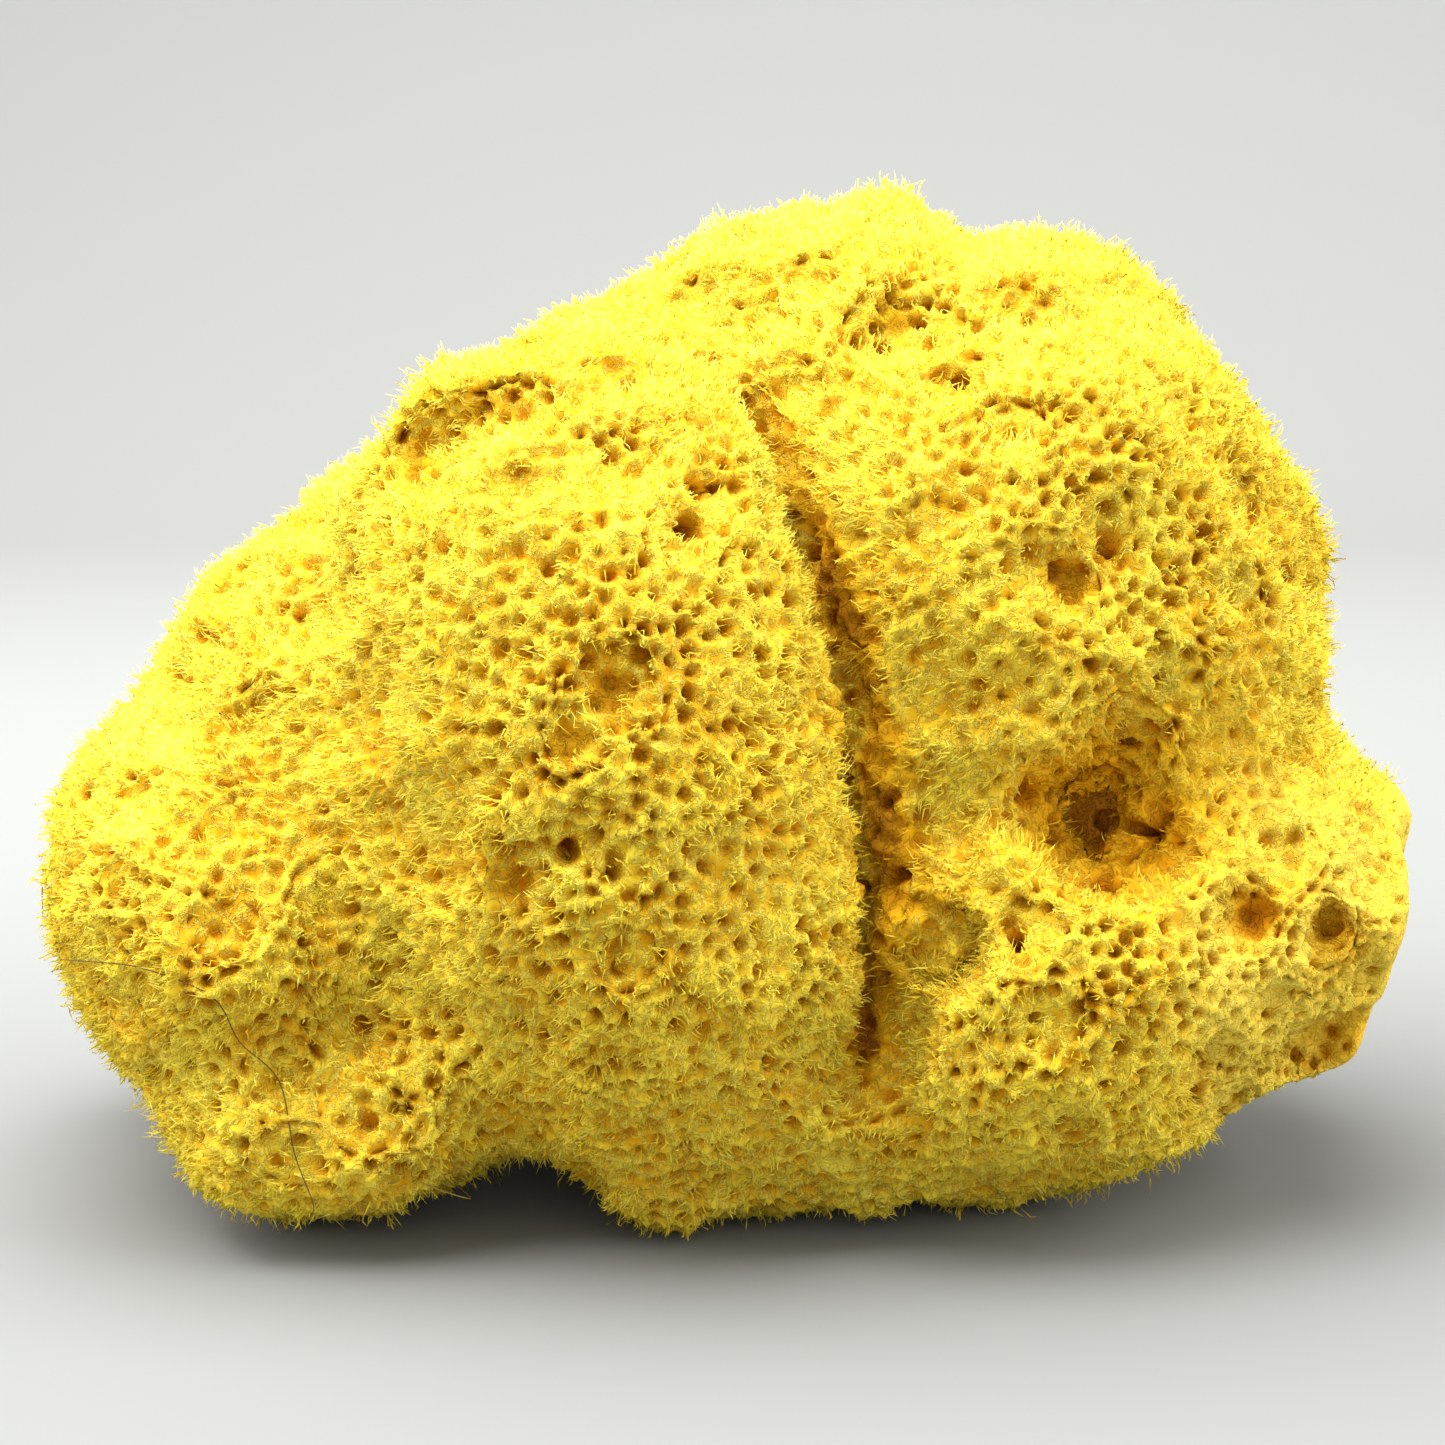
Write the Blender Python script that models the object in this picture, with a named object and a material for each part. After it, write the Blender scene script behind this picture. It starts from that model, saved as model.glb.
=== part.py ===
"""A bleached natural bath sponge at rest: fused lobes with a deep fold between them, a wide vent, smaller
vents and pits, and the trimmed end where it was cut from the rock.

X runs along the sponge, Y away from the front, Z up. The origin is under the middle of the box, on the
surface that the sponge rests on. Sizes in the tables are in millimetres.
"""

import math

import bmesh
import bpy
import numpy as np
from mathutils import Matrix, Vector, noise

MM = 0.001
NAME = "sponge"
WIDTH = 0.140
TRIANGLES = 9400

# Growth forms that fuse into the body: centre, radii, and the tilt of the tall axis about Y in degrees,
# positive where the top leans to +X.
LOBES = {
    "left front lobe": ((-11, -16, 45), (27, 31, 43), -12),
    "left slope": ((-20, 4, 50), (29, 34, 50), 56),
    "lip of the left lobe": ((3, -25, 46), (12, 14, 34), -8),
    "upper lip of the left lobe": ((-4, -22, 65), (12, 14, 18), -12),
    "left upper flank": ((-41, 2, 43), (20, 29, 24), 0),
    "left flank": ((-46, -4, 28), (22, 33, 26), -25),
    "left foot": ((-38, -15, 14), (21, 22, 16), 0),
    "left tip": ((-62, 3, 41), (6, 5, 3), 35),
    "right lobe": ((23, 4, 57), (39, 37, 39), 0),
    "crown": ((11, 7, 69), (28, 33, 31), 0),
    "saddle beside the crown": ((-9, 3, 76), (14, 20, 13), 32),
    "lower right lobe": ((28, -9, 25), (32, 31, 25), 0),
    "centre foot": ((3, -15, 15), (23, 19, 17), 0),
    "edge of the centre foot": ((-8, -21, 6), (6, 8, 8), 0),
    "lower right foot": ((26, -14, 14), (15, 17, 16), 0),
    "cut end": ((48, 0, 28), (25, 31, 21), 0),
    "back left lobe": ((-24, 18, 38), (33, 27, 33), -8),
    "back right lobe": ((22, 20, 42), (34, 27, 38), 0),
    "back foot": ((2, 18, 17), (36, 24, 19), 0),
    "upper back knob": ((34, 32, 70), (17, 14, 16), 20),
    "middle back knob": ((-6, 36, 60), (18, 13, 21), -15),
    "left back knob": ((-38, 28, 42), (17, 15, 15), -30),
    "right back knob": ((44, 24, 38), (17, 17, 14), 0),
    "lower back knob": ((14, 38, 25), (18, 12, 14), 10),
    "lower left back knob": ((-19, 34, 19), (15, 13, 13), 0),
    "left end knob": ((-58, 14, 22), (13, 14, 13), 0),
}

# The fold between the left front lobe and the right lobe: points on the front, top to bottom, each with the
# direction into the body, how deep it goes and how wide its mouth is.
FOLD = (
    ((-10, 0, 91), (0.0, 0.75, -0.6), 6, 4),
    ((-4.5, -13, 85.5), (-0.2, 0.85, -0.45), 9, 4),
    ((4, -25, 77), (-0.35, 0.9, -0.3), 12, 4.5),
    ((9.5, -31, 66), (-0.45, 0.88, -0.15), 15, 5),
    ((13.5, -34, 56), (-0.5, 0.86, 0.0), 18, 5.5),
    ((16, -36, 44), (-0.5, 0.86, 0.0), 20, 6),
    ((16, -36, 35), (-0.5, 0.86, 0.1), 19, 6.5),
    ((15.5, -35, 27), (-0.45, 0.87, 0.15), 15, 6.5),
    ((14.5, -33, 20), (-0.35, 0.9, 0.25), 10, 6),
    ((13, -32, 14), (-0.3, 0.9, 0.3), 6, 5),
)

# Hollows cut out of the fused lobes: centre, radii, tilt.
HOLLOWS = {
    "vent bowl": ((36, -32, 42), (7, 9, 7), 10),
    "vent throat": ((35, -22, 41), (3, 9, 3), 0),
    "notch above the vent": ((38, -30, 49), (3, 7, 4), 20),
    "hole beside the vent": ((29, -30, 45), (2, 7, 3), 0),
    "slot under the vent": ((32, -24, 36), (2, 10, 4), 20),
    "pit beside the fold": ((19, -33, 31), (4, 7, 4), 0),
    "hollow under the left lobe": ((-20, -36, 2), (7, 24, 7), 0),
    "hollow under the cut end": ((68, -8, -10), (34, 60, 14), -14),
    "crater on the left shoulder": ((-27, -31, 77), (7, 8, 3), -25),
    "small crater": ((-21, -33, 80), (3, 5, 3), -30),
    "slot beside the crown": ((31, -32, 63), (2, 7, 4), 20),
    "channel in the cut end": ((62, -19, 17), (10, 7, 3), -15),
    "upper hole in the cut end": ((57, -28, 30), (2, 7, 4), 8),
    "first groove of the cut end": ((63, -22, 38), (2, 7, 9), 8),
    "second groove of the cut end": ((68, -14, 34), (2, 6, 8), 8),
    "back vent": ((18, 44, 50), (6, 12, 5), -20),
    "lower back vent": ((-26, 44, 36), (5, 12, 4), 20),
    "top vent": ((26, 18, 98), (5, 5, 14), 10),
    "back valley": ((15, 54, 76), (5, 16, 22), 10),
    "end valley": ((-66, 24, 40), (8, 16, 5), 20),
}

# Soft dents in the skin: centre, radius and depth.
DENTS = (
    ((-29, -38, 42), 10, 4),
    ((-34, -34, 54), 8, 2.5),
    ((-39, -35, 20), 8, 3),
    ((-48, -28, 30), 7, 2),
    ((-10, -45, 57), 5, 2.5),
    ((-13, -47, 53), 4, 2),
    ((-18, -44, 39), 5, 2),
    ((-13, -45, 43), 4, 2.5),
    ((-9, -46, 41), 3.5, 2.5),
    ((-9, -46, 32), 3.5, 2.5),
    ((-3, -39, 70), 4, 3),
    ((17, -18, 88), 6, 2.5),
    ((35, -28, 67), 4.5, 2.5),
    ((-30, -8, 80), 12, 4),
    ((54, 4, 82), 14, 3),
    ((21, -33, 54), 7, 1.5),
    ((21, -33, 43), 7, 1.5),
    ((27, -37, 33), 4, 2.5),
    ((49, -31, 33), 4, 2.5),
    ((36, -30, 42), 11, 2.5),
    ((18, 41, 50), 11, 3),
    ((-26, 41, 36), 10, 3),
    ((26, 18, 95), 9, 2.5),
)

# The trimmed end, where scissors took flat slices off: a point on each slice and the way it faces.
SLICES = (
    ((68, 0, 28), (0.97, -0.12, -0.2)),
    ((52, -27, 20), (0.55, -0.72, -0.42)),
    ((62, 16, 14), (0.62, 0.25, -0.74)),
)

VOXEL = 1.5 * MM
FOOT_CUT = 1.9 * MM

LUMP_SIZE = 15 * MM
LUMP_HEIGHT = 2.2 * MM
KNOB_SIZE = 6 * MM
KNOB_HEIGHT = 1.3 * MM

PIT_SEED = 7
PIT_COUNT = 330
PIT_APART = 7.5 * MM
PIT_RADIUS = (2.8 * MM, 4.8 * MM)
PIT_DEPTH = (1.5 * MM, 3.8 * MM)
TRIMMED_WITHIN = 1.6 * MM

# The even face of the left front lobe, where lumps and pits are shallow: its middle and its reach.
EVEN_FACE = (-10, -34, 50)
EVEN_REACH = 30 * MM
EVEN_SHARE = 0.7


def clear_scene():
    for obj in list(bpy.data.objects):
        bpy.data.objects.remove(obj)


def add_object(name, mesh):
    obj = bpy.data.objects.new(name, mesh)
    bpy.context.scene.collection.objects.link(obj)
    return obj


def evaluated_mesh(obj):
    """The object's mesh with its modifiers applied, as a new mesh."""
    bpy.context.view_layer.update()
    graph = bpy.context.evaluated_depsgraph_get()
    return bpy.data.meshes.new_from_object(obj.evaluated_get(graph))


def add_ellipsoid(bm, centre, radii, tilt, subdivisions):
    place = (
        Matrix.Translation(Vector(centre) * MM)
        @ Matrix.Rotation(math.radians(tilt), 4, "Y")
        @ Matrix.Diagonal((radii[0] * MM, radii[1] * MM, radii[2] * MM, 1))
    )
    bmesh.ops.create_icosphere(bm, subdivisions=subdivisions, radius=1, matrix=place)


def ellipsoids_object(name, forms, subdivisions):
    bm = bmesh.new()
    for centre, radii, tilt in forms:
        add_ellipsoid(bm, centre, radii, tilt, subdivisions)
    mesh = bpy.data.meshes.new(name)
    bm.to_mesh(mesh)
    bm.free()
    return add_object(name, mesh)


def fold_object():
    """A bent wedge along the fold: each section is a kite with its point inside the body."""
    bm = bmesh.new()
    rings = []
    for point, inward, depth, mouth in FOLD:
        point = Vector(point) * MM
        inward = Vector(inward).normalized()
        across = inward.cross(Vector((0, 0, 1))).normalized()
        corners = (
            point - inward * 12 * MM,
            point + across * mouth / 2 * MM,
            point + inward * depth * MM,
            point - across * mouth / 2 * MM,
        )
        rings.append([bm.verts.new(corner) for corner in corners])
    for upper, lower in zip(rings, rings[1:]):
        for i in range(4):
            j = (i + 1) % 4
            bm.faces.new((upper[i], upper[j], lower[j], lower[i]))
    bm.faces.new(rings[0])
    bm.faces.new(rings[-1])
    bmesh.ops.recalc_face_normals(bm, faces=bm.faces)
    mesh = bpy.data.meshes.new("fold")
    bm.to_mesh(mesh)
    bm.free()
    return add_object("fold", mesh)


def remesh(obj, smoothing):
    """Fuses everything in the object into one skin and rounds its corners."""
    remesher = obj.modifiers.new("fuse", "REMESH")
    remesher.mode = "VOXEL"
    remesher.voxel_size = VOXEL
    smoother = obj.modifiers.new("round", "SMOOTH")
    smoother.factor = 0.5
    smoother.iterations = smoothing
    mesh = evaluated_mesh(obj)
    obj.modifiers.clear()
    obj.data = mesh


def cut_with(obj, cutter):
    boolean = obj.modifiers.new("cut", "BOOLEAN")
    boolean.operation = "DIFFERENCE"
    boolean.solver = "EXACT"
    boolean.use_self = True
    boolean.object = cutter
    mesh = evaluated_mesh(obj)
    obj.modifiers.clear()
    obj.data = mesh
    bpy.data.objects.remove(cutter)


def slice_off(obj, point, facing):
    """Cuts the object by a plane, takes away what lies past it and closes the cut with a flat face."""
    bm = bmesh.new()
    bm.from_mesh(obj.data)
    geometry = bm.verts[:] + bm.edges[:] + bm.faces[:]
    cut = bmesh.ops.bisect_plane(
        bm, geom=geometry, dist=1e-6, plane_co=point, plane_no=facing, clear_outer=True
    )
    edges = [e for e in cut["geom_cut"] if isinstance(e, bmesh.types.BMEdge)]
    bmesh.ops.holes_fill(bm, edges=edges)
    bm.to_mesh(obj.data)
    bm.free()


def positions_and_normals(mesh):
    count = len(mesh.vertices)
    positions = np.empty(count * 3, np.float32)
    normals = np.empty(count * 3, np.float32)
    mesh.vertices.foreach_get("co", positions)
    mesh.vertex_normals.foreach_get("vector", normals)
    return positions.reshape(-1, 3).astype(float), normals.reshape(-1, 3).astype(float)


def trimmed_share(positions):
    """1 on the trimmed slices, falling to 0 a little way off them."""
    share = np.zeros(len(positions))
    for point, facing in SLICES:
        facing = np.array(Vector(facing).normalized())
        distance = np.abs((positions - np.array(point) * MM) @ facing)
        share = np.maximum(share, np.clip(2 - distance / TRIMMED_WITHIN, 0, 1))
    return share


def even_share(positions):
    """How much the lumps and pits are held back: most in the middle of the even face, none far from it."""
    distance = np.linalg.norm(positions - np.array(EVEN_FACE) * MM, axis=1)
    return EVEN_SHARE * np.exp(-((distance / EVEN_REACH) ** 4))


def noise_field(positions, size, offset):
    return np.array([noise.noise(Vector(p) / size + Vector(offset)) for p in positions])


def scatter(positions, count, apart, random):
    """Picks up to count of the positions, none closer together than apart."""
    chosen = []
    for index in random.permutation(len(positions)):
        point = positions[index]
        if all(np.linalg.norm(point - positions[other]) > apart for other in chosen):
            chosen.append(index)
            if len(chosen) == count:
                break
    return chosen


def roughen(obj):
    """Raises the body's lumps and knobs and sinks its pits, along the surface normals."""
    positions, normals = positions_and_normals(obj.data)
    natural = 1 - trimmed_share(positions)
    rough = 1 - even_share(positions)
    height = LUMP_HEIGHT * noise_field(positions, LUMP_SIZE, (0, 0, 0))
    height += KNOB_HEIGHT * noise_field(positions, KNOB_SIZE, (9, 4, 2))
    moved = positions + normals * (height * natural * rough)[:, None]
    dents = [(np.array(centre) * MM, radius * MM, depth * MM) for centre, radius, depth in DENTS]
    random = np.random.default_rng(PIT_SEED)
    for index in scatter(positions, PIT_COUNT, PIT_APART, random):
        depth = random.uniform(*PIT_DEPTH) * rough[index]
        dents.append((positions[index], random.uniform(*PIT_RADIUS), depth))
    for centre, radius, depth in dents:
        distance = np.linalg.norm(positions - centre, axis=1)
        bowl = np.clip(1 - (distance / radius) ** 2, 0, 1) ** 2
        moved -= normals[distance.argmin()] * (depth * bowl)[:, None]
    obj.data.vertices.foreach_set("co", moved.astype(np.float32).ravel())
    obj.data.update()


def thin_out(obj):
    """Merges the flatter triangles until the solid has about the number that it is meant to have."""
    triangulate = obj.modifiers.new("triangles", "TRIANGULATE")
    triangulate.keep_custom_normals = False
    decimate = obj.modifiers.new("thin out", "DECIMATE")
    obj.data.calc_loop_triangles()
    decimate.ratio = TRIANGLES / len(obj.data.loop_triangles)
    mesh = evaluated_mesh(obj)
    obj.modifiers.clear()
    obj.data = mesh


def stand(obj):
    """Cuts flat feet, brings the sponge to its width and puts the origin under the middle of its box."""
    low, high = extent(obj)
    foot = Vector((0, 0, low[2] + FOOT_CUT))
    slice_off(obj, foot, (0, 0, -1))
    low, high = extent(obj)
    middle = Vector(((low[0] + high[0]) / 2, (low[1] + high[1]) / 2, low[2]))
    obj.data.transform(Matrix.Scale(WIDTH / (high[0] - low[0]), 4) @ Matrix.Translation(-middle))


def extent(obj):
    positions, _ = positions_and_normals(obj.data)
    return positions.min(axis=0), positions.max(axis=0)


def sponge_material():
    material = bpy.data.materials.new("bleached sponge")
    material.use_nodes = True
    surface = material.node_tree.nodes["Principled BSDF"]
    surface.inputs["Base Color"].default_value = (0.83, 0.62, 0.13, 1)
    surface.inputs["Roughness"].default_value = 0.95
    surface.inputs["Metallic"].default_value = 0
    return material


def build():
    clear_scene()
    sponge = ellipsoids_object(NAME, LOBES.values(), subdivisions=4)
    remesh(sponge, smoothing=16)
    cut_with(sponge, ellipsoids_object("hollows", HOLLOWS.values(), subdivisions=3))
    cut_with(sponge, fold_object())
    for point, facing in SLICES:
        slice_off(sponge, Vector(point) * MM, Vector(facing).normalized())
    remesh(sponge, smoothing=3)
    roughen(sponge)
    thin_out(sponge)
    stand(sponge)
    sponge.data.materials.append(sponge_material())
    sponge.data.shade_smooth()
    return sponge


build()
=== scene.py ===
"""The looks of a bleached natural bath sponge: its pored skin, its fringe of fibres, a loose hair and lint.

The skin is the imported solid's, in fine quads. Pores lie at random all over it, none closer together than
a spacing, with ridges between them that peak where three pores meet. Fibres grow mostly from the ridges.
Lengths are in metres, but the tables of places below, with their radii, reaches and depths, are in
millimetres.
"""

import math

import bpy
import numpy as np
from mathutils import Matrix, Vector
from mathutils.bvhtree import BVHTree
from mathutils.kdtree import KDTree


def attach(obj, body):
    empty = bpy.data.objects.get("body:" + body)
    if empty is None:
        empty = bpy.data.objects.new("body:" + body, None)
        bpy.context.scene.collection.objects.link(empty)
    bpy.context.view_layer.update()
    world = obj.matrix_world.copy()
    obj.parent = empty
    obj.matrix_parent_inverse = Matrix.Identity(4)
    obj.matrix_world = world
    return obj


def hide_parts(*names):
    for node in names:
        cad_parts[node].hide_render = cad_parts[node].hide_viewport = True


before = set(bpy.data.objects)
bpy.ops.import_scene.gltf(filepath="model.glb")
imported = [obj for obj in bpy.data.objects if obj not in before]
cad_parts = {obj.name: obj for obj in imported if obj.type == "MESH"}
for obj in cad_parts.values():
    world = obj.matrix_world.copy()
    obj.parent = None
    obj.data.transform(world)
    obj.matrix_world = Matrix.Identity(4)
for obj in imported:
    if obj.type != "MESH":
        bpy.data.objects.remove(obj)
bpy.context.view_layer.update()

MM = 0.001

# The camera looks at the middle of the sponge from the front, a little from above.
CAMERA_TARGET = Vector((0, 0, 46 * MM))
CAMERA_DISTANCE = 300 * MM
CAMERA_ELEVATION = math.radians(10)
FIELD_WIDTH = 147.4 * MM
SENSOR = 36
CLIP_START = 10 * MM

# The skin's fine quads, and how many rounds of smoothing take off the solid's facets.
CELL = 0.505 * MM
ROUNDING = 24

# The fibres' tips reach the solid's surface, so the skin that they grow from lies this far inside it.
UNDER_TIPS = 0.9 * MM

# The skin is parted from front to back into meshes of equal size, so that none has too many triangles.
SKIN_PIECES = ("front_skin", "middle_skin", "back_skin")
SKIN_ATTRIBUTES = ("depth", "felt", "hollow", "crest")

# Flat slices on the trimmed end: a point on each and the way it faces. Their effect ends this far off them.
SLICES = (
    ((67.9, -1.4, 29.0), (0.97, -0.12, -0.2)),
    ((62.0, 14.4, 15.1), (0.62, 0.25, -0.74)),
)
TRIMMED_WITHIN = 1.5 * MM

# Single holes and wide shallow pits that stand out from the even pores: place, radius, depth.
HOLES = (
    ((-2.9, -37.3, 70.2), 1.4, 4),
    ((-2, -34.6, 73.1), 1.0, 3),
    ((-13.2, -46, 42.9), 1.3, 4),
    ((-9.3, -46.2, 41), 0.9, 3),
    ((-9, -45.6, 32.2), 1.0, 3.5),
    ((-7.2, -47, 36.4), 0.8, 3),
    ((-9.7, -44.8, 56.7), 2.4, 1.6),
    ((-13.1, -46.5, 52.7), 2.0, 1.5),
    ((-18.2, -44.5, 39.4), 2.0, 1.6),
    ((15.3, -31.6, 44.4), 1.0, 3),
    ((15.9, -31.4, 36.8), 1.2, 4),
    ((15.8, -30.5, 31.5), 1.3, 4),
    ((17.2, -35, 30.4), 1.0, 4),
    ((20.6, -35, 33.8), 0.8, 4),
    ((21.6, -35, 29.6), 0.7, 3),
    ((26.9, -36.6, 32.5), 1.2, 4),
    ((34.4, -26, 39.6), 1.5, 5),
    ((36.8, -26, 44.4), 1.1, 4),
    ((32.2, -26.5, 43.4), 0.9, 4),
    ((38.6, -26, 40.6), 0.9, 4),
    ((35.5, -23.9, 45.7), 1.4, 4),
    ((28.5, -28, 44.1), 1.4, 4),
    ((31.4, -36.6, 37.6), 1.3, 4),
    ((40.1, -25.3, 40.2), 1.2, 3),
    ((35.1, -28.7, 36.2), 1.2, 3),
    ((38.4, -23.2, 44.6), 1.1, 3),
    ((31.6, -26.2, 40.4), 1.3, 4),
    ((29.8, -32.4, 48.2), 0.9, 2.5),
    ((35.4, -27.9, 67.4), 1.2, 4),
    ((49.4, -29.8, 33.1), 2.2, 1.8),
    ((39.5, -38.6, 24.6), 0.8, 3),
    ((47, -35, 27), 0.7, 2),
    ((44, -36, 30), 0.6, 2),
    ((16.6, -17.2, 87.8), 2.6, 0.9),
)
HOLE_PROFILE = (0.3, 1.3)
HOLE_RAGGED = 0.2
FULLY_DEEP = 3

# The lip of the left lobe along the fold, top to bottom, and how far its dense fringe spreads.
LIP = (
    (-7, -16, 86), (-2, -27, 82), (1.5, -31, 78), (4.5, -33, 73.5), (6.5, -34.5, 68),
    (8.5, -36, 62), (10, -37, 56.5), (11.5, -38, 50), (12.3, -38, 43.5), (12.5, -38, 36),
    (12, -37, 30), (11.5, -35.6, 23.7), (10.7, -33.6, 17.4),
)
LIP_REACH = 2.2 * MM
PLACES_ALONG_LIP = 60

# The gap behind the lip: from the lip to its middle, how far its painted shade reaches, between which
# heights that shade fades out towards the top, by how much of it, and how far the gap is filled to narrow
# it.
INTO_GAP = (1.8, 5.5, 0)
GAP_REACH = 2.8 * MM
GAP_RAGGED = 0.25
GAP_FADES = (60 * MM, 80 * MM)
GAP_FADED = 0.8
GAP_FILLED = 2.1 * MM

# The strip of the right lobe beside the fold, where long fibres lean over the gap: from the lip to its
# middle, and its reach.
BESIDE_FOLD = (7, 5, 0)
BESIDE_REACH = 5 * MM

# How the fibres are combed: a place, how far its pull reaches, and the way they lean. The first is the left
# flank, where they are long and cover the pores.
COMBS = (
    ((-34, -36, 46), 26, (-0.9, 0, -0.25)),
    ((8, -40, 50), 12, (0.5, 0, 0)),
    ((22, -34, 54), 12, (-0.9, 0, -0.2)),
    ((13, -28, 72), 9, (-0.5, 0, -0.2)),
    ((20, -20, 86), 22, (0, 0, 0.5)),
)
FLANK = COMBS[0]

# Fibres round the vent lean into it, and those along the fold lean over the gap from both sides.
VENT = (36 * MM, -30 * MM, 43 * MM)
VENT_REACH = 13 * MM
VENT_LEAN = 0.5
LIP_LEAN = 0.9
BESIDE_LEAN = 1.1

# Recesses apart from the gap where the skin is darkened to a deep ochre as painted shade: a place, how far
# the painted shade reaches, and its strength.
PAINTED_SHADE_SPOTS = (
    ((35, -26, 42), 9, 0.75),
    ((35, -17, 41), 7, 0.9),
    ((16.5, -34, 33), 4.5, 0.95),
    ((14.5, -33, 40), 3.5, 0.9),
    ((57, -24, 29.5), 3.5, 0.8),
    ((49, -30, 33), 2.5, 0.6),
    ((62, -16, 17), 5, 0.45),
    ((31, -29, 64), 2.5, 0.8),
    ((-28, -29, 75), 2.2, 0.7),
)
PAINTED_SHADE_RAGGED = 0.3

# Hollows whose backs stand further forward, with only single holes going deeper: a place on the new back,
# and how far round it the back is moved. Then the share of their old depth that is kept, and the relief.
RAISED_BACKS = (
    ((35.3, -26, 42), 7.5),
    ((19.5, -35, 32), 5.5),
)
BACK_EDGE = (0.8, 1.2)
BACK_KEPT = 0.2
BACK_RELIEF = 1.8 * MM
RELIEF_FROM = 2 * MM

# Each noise: the size of its features, and its seed.
SPACING_NOISE = (9 * MM, 3)
WARP_NOISE = (1.1 * MM, 5)
PEAK_NOISE = (2 * MM, 9)
SWELL_NOISE = (4.5 * MM, 11)
LUMP_NOISE = (2.2 * MM, 12)
GRAIN_NOISE = (1.1 * MM, 13)
SWIRL_NOISE = (9 * MM, 31)
TANGLE_NOISE = (2.5 * MM, 41)
FELT_NOISE = (9 * MM, 51)
LENGTH_NOISE = (4 * MM, 61)
OPEN_NOISE = (22 * MM, 71)
HOLE_NOISE = (1.2 * MM, 81)
BACK_NOISE = (3 * MM, 91)
DOWN_NOISE = (1.5 * MM, 91)
PAINTED_SHADE_NOISE = (3 * MM, 101)
GAP_NOISE = (2.5 * MM, 111)
LATTICE_PRIMES = (73856093, 19349663, 83492791)

SEED = 21

# The pores. The spacing is the least one between two of them, and random places leave more on average.
PORE_SPACING = 1.75 * MM
FELT_SPACING = 1.4 * MM
SPACING_VARIES = 0.2
TRIMMED_SPACING = 0.5
PORE_RADIUS = (0.42 * MM, 0.7 * MM)
FELT_NARROWS = 0.2
PORE_DEPTH = (0.9 * MM, 2.6 * MM)
CLOSED_PORES = 0.12
CLOSED_DEPTH = 0.15
WIDE_PORES = 0.04
WIDENED = 1.5
PORE_PROFILE = (0.4, 1.45)
WARPED = 0.35 * MM

# How open the pores are on average, by how much that varies and at least, and how far they are grown over
# on the combed left flank, beside the fold and where the skin faces upwards.
OPEN_SHARE = 0.85
OPEN_VARIES = 0.5
LEAST_OPEN = 0.4
FLANK_CLOSES = 0.5
FLANK_CLOSES_WITHIN = 22 * MM
BESIDE_FOLD_CLOSES = 0.5
UPWARD_CLOSES = 0.6
UPWARD = (0.2, 0.8)

# Skin within this distance of a pore's rim moves by this share of it onto the rim.
RIM_PULLS_WITHIN = 0.3 * MM
RIM_PULLS = 0.4

# The ridges between pores, the peaks where three pores meet, and the uneven swell, lumps and grain over
# them. The grain's height is in millimetres.
RIDGE_HEIGHT = 0.35 * MM
RIDGE_WIDTH = 0.35 * MM
PEAK_HEIGHT = 0.6 * MM
PEAK_WIDTH = 0.45 * MM
PEAK_PATCHES = (-0.6, 0.6)
SWELL_HEIGHT = 0.4 * MM
LUMP_HEIGHT = 0.3 * MM
GRAIN_HEIGHT = 0.35
GRAIN_ON_SLICES = 0.3
FELT_EVENS = 0.4
CREST_HEIGHTS = (-0.5 * MM, 0.7 * MM)

# How many rounds of smoothing tell the broad form, how far below it a hollow lies, and how far the
# shallow ones are filled.
BROAD_FORM = 400
HOLLOW_DEPTH = (1.2 * MM, 4.5 * MM)
FILLED_SHARE = 0.6
FILLED_UP_TO = (3 * MM, 5 * MM)

# Beside the trimmed end the fibres are worn down to a short felt: the middle of that patch and its reach.
FELT_CENTRE = (58 * MM, -20 * MM, 22 * MM)
FELT_REACH = 26 * MM
FELT_INNER_SHARE = 0.55
FELT_RAGGED = 6 * MM

# Where fibres grow: outside the pores, mostly on ridges, densest along the fold, and fewer on skin that
# faces down or back, in the recesses given painted shade and in hollows.
OUTSIDE_PORES = 0.2
ON_PORE_WALLS = (0.1, 0.5)
OFF_RIDGES = 0.25
DENSER_AT_LIP = 2.5
DENSER_BESIDE_FOLD = 0.8
FEWER_BELOW = 0.7
DOWNWARD = (0.3, 0.8)
FEWER_BEHIND = 0.45
BACKWARD = (-0.3, 0.5)
BARE_IN_PAINTED_SHADE = (1.5, 0.96)
BARE_IN_HOLLOWS = 0.9
BARE_HOLLOWS = (0.6, 1)
RIDGE_TOPS = (0.12, 0.4)

# Wisps of fibre lean together into tufts: the tufts' spacing and lengths, how much they are swirled,
# tangled and scattered, how their lengths vary, and the wisps in each.
TUFT_SPACING = 0.8 * MM
TUFT_LENGTH = 1.5 * MM
COMBED_LENGTH = 2.1 * MM
FELT_LENGTH = 0.5 * MM
SWIRLED = 0.35
TANGLED = 0.5
TUFT_SCATTER = 0.22
LENGTH_SHARE = 0.75
LENGTH_PATCHES = 0.35
LENGTH_VARIES = (0.6, 1.25)
WISP_PIECES = ("tufts_1", "tufts_2")
WISPS_PER_PIECE = 26000
WISP_RADIUS = (0.055 * MM, 0.11 * MM)
WISP_TIP_SCATTER = 0.2
WISP_ELBOW_SCATTER = 0.17
WISP_ARCH = 0.1
FELT_THINS = 0.7

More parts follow.
